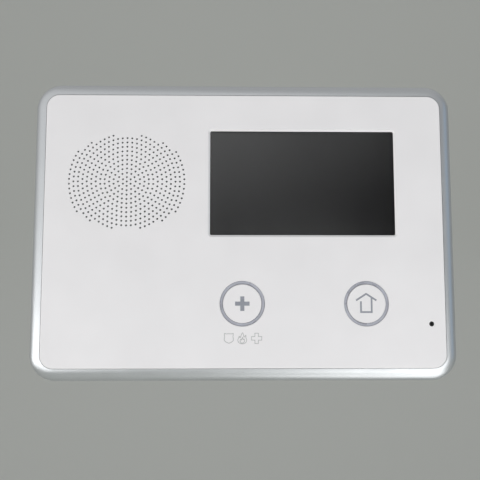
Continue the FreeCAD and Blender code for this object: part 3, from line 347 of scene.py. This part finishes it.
def circuit_board(name, colour):
    """Solder mask over copper tracks, which show as slightly raised, lighter lines."""
    look = Look(name, 0.36, Coat_Weight=0.3, Coat_Roughness=0.15)
    tracks = look.cells(3.5 * MM, "DISTANCE_TO_EDGE")
    fine = look.noise(2.0 * MM, detail=2.0)
    line = look.spread(tracks, 1.0, 0.0, from_low=0.02, from_high=0.05)
    base = look.blend(line, colour, tone(colour, 1.9))
    look.feed("Base Color", look.blend(look.spread(fine, 0.0, 0.3), base, tone(colour, 0.6)))
    look.feed("Roughness", look.spread(fine, 0.30, 0.44))
    look.bump(line, 0.03 * MM)
    return look.material


def wound_copper():
    """Fine copper wire wound in turns."""
    colour = (0.72, 0.36, 0.17, 1.0)
    look = Look("copper", 0.30, metallic=1.0)
    turns = look.bands(0.18 * MM, "Y")
    look.feed("Base Color", look.blend(turns, tone(colour, 0.45), colour))
    look.feed("Roughness", look.spread(turns, 0.26, 0.42))
    look.bump(turns, 0.04 * MM)
    return look.material


def ink(name, colour):
    """Pad-printed ink, a little uneven in cover."""
    look = Look(name, 0.5)
    cover = look.noise(0.5 * MM, detail=4.0, roughness=0.7)
    look.feed("Base Color", look.mottled(cover, colour, darkest=0.95, lightest=1.06))
    look.feed("Roughness", look.spread(cover, 0.45, 0.58))
    look.bump(cover, 0.002 * MM)
    return look.material


def studio_paper():
    look = Look("studio_paper", 0.85)
    fibre = look.noise(2.5 * MM, detail=4.0)
    look.feed("Base Color", look.mottled(fibre, srgb(206, 208, 203), darkest=0.985, lightest=1.015))
    look.bump(fibre, 0.02 * MM)
    return look.material


WHITE = srgb(246, 244, 245)
HOUSING_WHITE = srgb(226, 226, 224)
PLATE_WHITE = srgb(214, 213, 208)
NATURAL = srgb(222, 218, 204)
LED_WHITE = srgb(236, 230, 200)
INK_GREY = srgb(196, 196, 196)
BLACK_PLASTIC = (0.020, 0.020, 0.022, 1.0)
BLACK_PAINT = (0.022, 0.022, 0.024, 1.0)
BLACK_FOAM = (0.020, 0.020, 0.021, 1.0)
BLACK_RUBBER = (0.016, 0.016, 0.017, 1.0)
BLACK_CLOTH = (0.010, 0.017, 0.018, 1.0)
SOFT_BLACK = grey(0.022)
FERRITE = (0.035, 0.034, 0.034, 1.0)
SILICONE = (0.62, 0.62, 0.63, 1.0)
STEEL = (0.60, 0.60, 0.61, 1.0)
CAPSULE_METAL = (0.72, 0.72, 0.73, 1.0)
AMBER_FILM = (0.42, 0.17, 0.03, 1.0)
BOARD_GREEN = (0.012, 0.085, 0.035, 1.0)
TERMINAL_GREEN = (0.015, 0.16, 0.045, 1.0)
BATTERY_BLUE = (0.012, 0.045, 0.16, 1.0)

LOOKS = {
    "white_face": moulded_plastic("white_face", WHITE, 0.42, wear=0.25, Coat_Weight=0.05, Coat_Roughness=0.3),
    "white_housing": moulded_plastic(
        "white_housing", HOUSING_WHITE, 0.55, grain=0.6 * MM, depth=0.02 * MM, wear=0.45,
    ),
    "plate_plastic": moulded_plastic(
        "plate_plastic", PLATE_WHITE, 0.60, grain=0.7 * MM, depth=0.025 * MM, wear=0.5,
    ),
    "silver_paint": silver_paint(),
    "ring_lens": ring_lens(),
    "icon_insert": icon_insert(),
    "screen_glass": screen_glass(),
    "display": display(),
    "black_foam": rubber("black_foam", BLACK_FOAM, 0.9, grain=0.5 * MM),
    "pressed_steel": pressed_metal("pressed_steel", STEEL, 0.34),
    "silicone": rubber("silicone", SILICONE, 0.55, grain=0.4 * MM),
    "black_rubber": rubber("black_rubber", BLACK_RUBBER),
    "black_plastic": moulded_plastic("black_plastic", BLACK_PLASTIC, 0.45, wear=0.3),
    "natural_plastic": moulded_plastic("natural_plastic", NATURAL, 0.45, wear=0.2),
    "led_white": moulded_plastic("led_white", LED_WHITE, 0.30, grain=0.2 * MM, depth=0.003 * MM),
    "flex_cable": moulded_plastic("flex_cable", AMBER_FILM, 0.32, grain=0.5 * MM, depth=0.004 * MM),
    "speaker_steel": moulded_plastic(
        "speaker_steel", BLACK_PAINT, 0.40, grain=0.5 * MM, depth=0.012 * MM, wear=0.6,
    ),
    "magnet": moulded_plastic("magnet", FERRITE, 0.50, grain=0.8 * MM, depth=0.03 * MM, wear=0.5),
    "cone_paper": rubber("cone_paper", SOFT_BLACK, 0.88, grain=1.1 * MM),
    "copper": wound_copper(),
    "acoustic_cloth": cloth("acoustic_cloth", BLACK_CLOTH, pitch=0.35 * MM),
    "lead_insulation": rubber("lead_insulation", SOFT_BLACK, 0.5),
    "capsule_metal": pressed_metal("capsule_metal", CAPSULE_METAL, 0.28),
    "circuit_board": circuit_board("circuit_board", BOARD_GREEN),
    "terminal_plastic": moulded_plastic("terminal_plastic", TERMINAL_GREEN, 0.42, wear=0.25),
    "battery_wrap": moulded_plastic(
        "battery_wrap", BATTERY_BLUE, 0.28, grain=1.5 * MM, depth=0.02 * MM, wear=0.2,
    ),
    "printed_ink": ink("printed_ink", INK_GREY),
}


def dress_cad_nodes():
    """Gives every CAD node the look of its material slot."""
    for entry in frame["record"]["subparts"]:
        mesh = frame["nodes"][entry["node"]].data
        mesh.materials.clear()
        mesh.materials.append(LOOKS[entry["material_slot"]])


# ---------------------------------------------------------------- springs

# The button skirts and the tamper spring shorten with their joints. Each is shown by a copy of the same
# shape, with a mesh of its own, in place of its hidden CAD piece; the fixed end of its joint is looked up but
# not used.
SPRINGS = (
    ("emergency_return_spring", "emergency_press"),
    ("home_return_spring", "home_press"),
    ("tamper_spring", "tamper_press"),
)


def flexing_springs():
    joints = {joint["name"]: joint for joint in frame["record"]["behaviour"]["joints"]}
    for node, joint_name in SPRINGS:
        joint = joints[joint_name]
        piece = add_object(node + "_flexing", frame["nodes"][node].data)
        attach(piece, "panel")
        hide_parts(node)
        low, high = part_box(node)
        anchor = (low + high) / 2
        anchor.y = joint["deforming_nodes"][0]["fixed_end_y_m"]
        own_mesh(piece)


# ---------------------------------------------------------------- printed icons

ICON_STROKE = 0.34 * MM
INK_THICKNESS = 0.02 * MM
LEAST_MITRE = 0.5  # keeps sharp corners of the ink from running out into long points
CURVE_STEPS = 6
ICON_ROW_DROP = 15.65 * MM
SHIELD_OFFSET = -6.12 * MM
FLAME_OFFSET = -0.02 * MM
CROSS_OFFSET = 6.5 * MM

# Outlines in millimetres from each icon's middle.
CROSS_ARM = 0.8
CROSS_REACH = 2.3
SHIELD_RIGHT_HALF = [
    (0.0, 2.1), (1.05, 2.0), (2.0, 2.2), (1.95, 1.3), (1.85, 0.75), (2.1, -0.3), (1.95, -1.1),
    (1.1, -1.75), (0.0, -2.2),
]
FLAME = [
    (0.1, 2.5), (0.55, 1.6), (0.75, 0.6), (1.1, 0.8), (1.6, 1.4), (1.65, 0.3), (2.0, -0.7),
    (1.7, -1.7), (0.9, -2.3), (0.0, -2.45), (-0.9, -2.3), (-1.7, -1.7), (-2.0, -0.7), (-1.6, 0.3),
    (-1.35, 0.95), (-0.95, 0.3), (-0.55, 1.3),
]
INNER_FLAME = [
    (0.1, 0.4), (0.4, -0.5), (0.85, -0.3), (1.0, -1.2), (0.55, -1.95), (0.0, -2.1), (-0.55, -1.95),
    (-1.0, -1.2), (-0.7, -0.4), (-0.35, -0.7),
]


def smooth_line(points):
    """Closed Catmull-Rom line through the points."""
    line = []
    count = len(points)
    for index in range(count):
        near = [points[(index + shift) % count] for shift in (-1, 0, 1, 2)]
        for step in range(CURVE_STEPS):
            t = step / CURVE_STEPS
            weights = (
                -0.5 * t ** 3 + t ** 2 - 0.5 * t,
                1.5 * t ** 3 - 2.5 * t ** 2 + 1,
                -1.5 * t ** 3 + 2 * t ** 2 + 0.5 * t,
                0.5 * t ** 3 - 0.5 * t ** 2,
            )
            x = sum(weight * point[0] for weight, point in zip(weights, near))
            z = sum(weight * point[1] for weight, point in zip(weights, near))
            line.append((x, z))
    return line


def mirrored(points):
    """Closed outline from its right half, given from top to bottom on the axis."""
    return points + [(-x, z) for x, z in reversed(points) if x > 0]


def cross_line():
    """Closed outline of a cross with equal arms."""
    arm, reach = CROSS_ARM, CROSS_REACH
    return [
        (-arm, reach), (arm, reach), (arm, arm), (reach, arm), (reach, -arm), (arm, -arm),
        (arm, -reach), (-arm, -reach), (-arm, -arm), (-reach, -arm), (-reach, arm), (-arm, arm),
    ]


def add_ribbon(mesh, line, middle):
    """Thin raised ribbon of ink along a closed line around the middle."""
    points = [Vector((x * MM, z * MM)) for x, z in line]
    count = len(points)
    rings = []
    for index, point in enumerate(points):
        arriving = (point - points[index - 1]).normalized()
        leaving = (points[(index + 1) % count] - point).normalized()
        along = (arriving + leaving).normalized()
        aside = Vector((-along.y, along.x))
        mitre = max(LEAST_MITRE, aside.dot(Vector((-arriving.y, arriving.x))))
        reach = ICON_STROKE / 2 / mitre
        ring = []
        for side, lift in ((1, 0), (1, 1), (-1, 1), (-1, 0)):
            at = point + aside * reach * side
            ring.append(mesh.verts.new((middle.x + at.x, FACE_Y - lift * INK_THICKNESS, middle.z + at.y)))
        rings.append(ring)
    for index in range(count):
        here, there = rings[index], rings[(index + 1) % count]
        for corner in range(4):
            following = (corner + 1) % 4
            mesh.faces.new((here[corner], here[following], there[following], there[corner]))


def print_icon(name, lines, middle):
    """One icon of ink on the face, from its closed lines."""
    mesh = bmesh.new()
    for line in lines:
        add_ribbon(mesh, line, middle)
    bmesh.ops.recalc_face_normals(mesh, faces=mesh.faces)
    data = bpy.data.meshes.new(name)
    mesh.to_mesh(data)
    mesh.free()
    data.materials.append(LOOKS["printed_ink"])
    piece = add_object(name, data)
    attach(piece, "panel")


def print_icons():
    """Shield, flame and cross in a row under the emergency button."""
    button = middle_of("emergency_button")
    icons = (
        ("printed_shield", [mirrored(SHIELD_RIGHT_HALF)], SHIELD_OFFSET),
        ("printed_flame", [smooth_line(FLAME), smooth_line(INNER_FLAME)], FLAME_OFFSET),
        ("printed_cross", [cross_line()], CROSS_OFFSET),
    )
    for name, lines, offset in icons:
        print_icon(name, lines, Vector((button.x + offset, FACE_Y, button.z - ICON_ROW_DROP)))


# ---------------------------------------------------------------- studio

FLOOR_Z = -0.9
STAGE_HALF_WIDTH = 9.0
STAGE_FRONT_Y = -3.0
STAGE_BACK_Y = 2.4
STAGE_CURVE = 1.2
STAGE_CURVE_STEPS = 16
STAGE_HEIGHT = 3.6


def stage_profile():
    """Points of the floor from front to back, then round the curve and up the backdrop."""
    profile = [(STAGE_FRONT_Y, FLOOR_Z)]
    for step in range(STAGE_CURVE_STEPS + 1):
        turn = math.radians(90) * step / STAGE_CURVE_STEPS
        y = STAGE_BACK_Y - STAGE_CURVE + STAGE_CURVE * math.sin(turn)
        z = FLOOR_Z + STAGE_CURVE - STAGE_CURVE * math.cos(turn)
        profile.append((y, z))
    profile.append((STAGE_BACK_Y, FLOOR_Z + STAGE_HEIGHT))
    return profile


def build_stage():
    """Pale floor that curves up into a backdrop well behind the panel."""
    mesh = bmesh.new()
    rows = []
    for y, z in stage_profile():
        rows.append([mesh.verts.new((side * STAGE_HALF_WIDTH, y, z)) for side in (-1, 1)])
    for first, second in zip(rows, rows[1:]):
        mesh.faces.new((first[0], first[1], second[1], second[0]))
    data = bpy.data.meshes.new("stage_floor")
    mesh.to_mesh(data)
    mesh.free()
    for polygon in data.polygons:
        polygon.use_smooth = True
    data.materials.append(studio_paper())
    floor = add_object("stage_floor", data)


NEUTRAL = (1.0, 1.0, 1.0)
COOL = (0.30, 0.62, 1.0)

# Each lamp's name, place, aim, width and height, watts, and colour.
LAMPS = (
    ("low_front", (0.42, -0.76, -0.49), (0.05, 0, -0.05), (0.55, 0.66), 2.3, NEUTRAL),
    ("low_right", (0.36, -0.21, -0.77), (0.05, 0, -0.05), (0.50, 0.74), 1.7, NEUTRAL),
    ("low_left", (-0.86, -0.55, -0.30), (-0.08, 0, -0.04), (1.30, 0.42), 4.0, NEUTRAL),
    ("cool_right", (1.2, -0.4, 0.15), (0, 0, 0), (0.6, 1.0), 0.60, COOL),
)


def soft_light(name, place, aim, size, power, colour):
    data = bpy.data.lights.new(name, "AREA")
    data.shape = "RECTANGLE"
    data.size, data.size_y = size
    data.energy = power
    data.color = colour
    lamp = add_object(name, data)
    lamp.location = place
    lamp.rotation_euler = (Vector(aim) - Vector(place)).to_track_quat("-Z", "Y").to_euler()
    lamp.visible_camera = False


# The surroundings, for the rim and the glass to reflect. Each lobe has the turn right and the rise of its
# middle, the half angle of its full part and of its reach, all in degrees, and what it adds. Where the
# surroundings themselves are in view, they are plain.
AIR_COLOUR = (0.985, 0.99, 1.0, 1.0)
AIR_BASE = 0.45
AIR_LEAST = 0.02
AIR_LOBES = (
    (-50, 25, 5, 50, 0.30),
    (5, 25, 3, 20, 0.48),
    (-25, -14, 3, 18, 0.60),
    (18, 7.5, 3, 24, -0.44),
    (8, -3, 3, 13, 0.42),
    (85, 5, 10, 50, -0.20),
)


def towards(turn_right, rise):
    """Unit direction from the panel, where 0, 0 is straight out of the face."""
    turn, lift = math.radians(turn_right), math.radians(rise)
    return Vector((math.sin(turn) * math.cos(lift), -math.cos(turn) * math.cos(lift), math.sin(lift)))


def air_lobe(tree, direction, turn_right, rise, full, reach, gain):
    """What one lobe adds to the air's strength in a direction."""
    nearness = dot_product(tree, direction, towards(turn_right, rise))
    fade = (math.cos(math.radians(reach)), math.cos(math.radians(full)))
    return map_range(tree, nearness, fade, (0.0, gain), "SMOOTHSTEP")


def studio_air():
    world = bpy.data.worlds.new("studio_air")
    world.use_nodes = True
    tree = world.node_tree
    direction = tree.nodes.new("ShaderNodeTexCoord").outputs["Generated"]
    strength = AIR_BASE
    for lobe in AIR_LOBES:
        strength = arithmetic(tree, "ADD", air_lobe(tree, direction, *lobe), strength)
    light_path = tree.nodes.new("ShaderNodeLightPath")
    seen = tree.nodes.new("ShaderNodeMix")
    supply(tree, seen.inputs["Factor"], light_path.outputs["Is Camera Ray"])
    supply(tree, seen.inputs["A"], arithmetic(tree, "MAXIMUM", strength, AIR_LEAST))
    supply(tree, seen.inputs["B"], AIR_BASE)
    background = tree.nodes["Background"]
    background.inputs["Color"].default_value = AIR_COLOUR
    supply(tree, background.inputs["Strength"], seen.outputs["Result"])
    bpy.context.scene.world = world


def light_studio():
    for lamp in LAMPS:
        soft_light(*lamp)
    studio_air()
    bpy.context.scene.view_settings.view_transform = "Standard"


# ---------------------------------------------------------------- camera

CAMERA_FROM_FACE = Vector((-6.1, -256.7, -27.5)) * MM
CAMERA_TILT_UP = math.radians(5.0)
CAMERA_TURN_RIGHT = math.radians(0.92)
CAMERA_NEAREST = 0.01
FIELD_OF_VIEW = math.radians(46.4)


def place_camera():
    data = bpy.data.cameras.new("camera")
    data.angle = FIELD_OF_VIEW
    data.clip_start = CAMERA_NEAREST
    camera = add_object("camera", data)
    camera.location = FACE_MIDDLE + CAMERA_FROM_FACE
    camera.rotation_euler = (math.radians(90) + CAMERA_TILT_UP, 0, -CAMERA_TURN_RIGHT)
    bpy.context.scene.camera = camera


place_camera()
dress_cad_nodes()
flexing_springs()
print_icons()
build_stage()
light_studio()
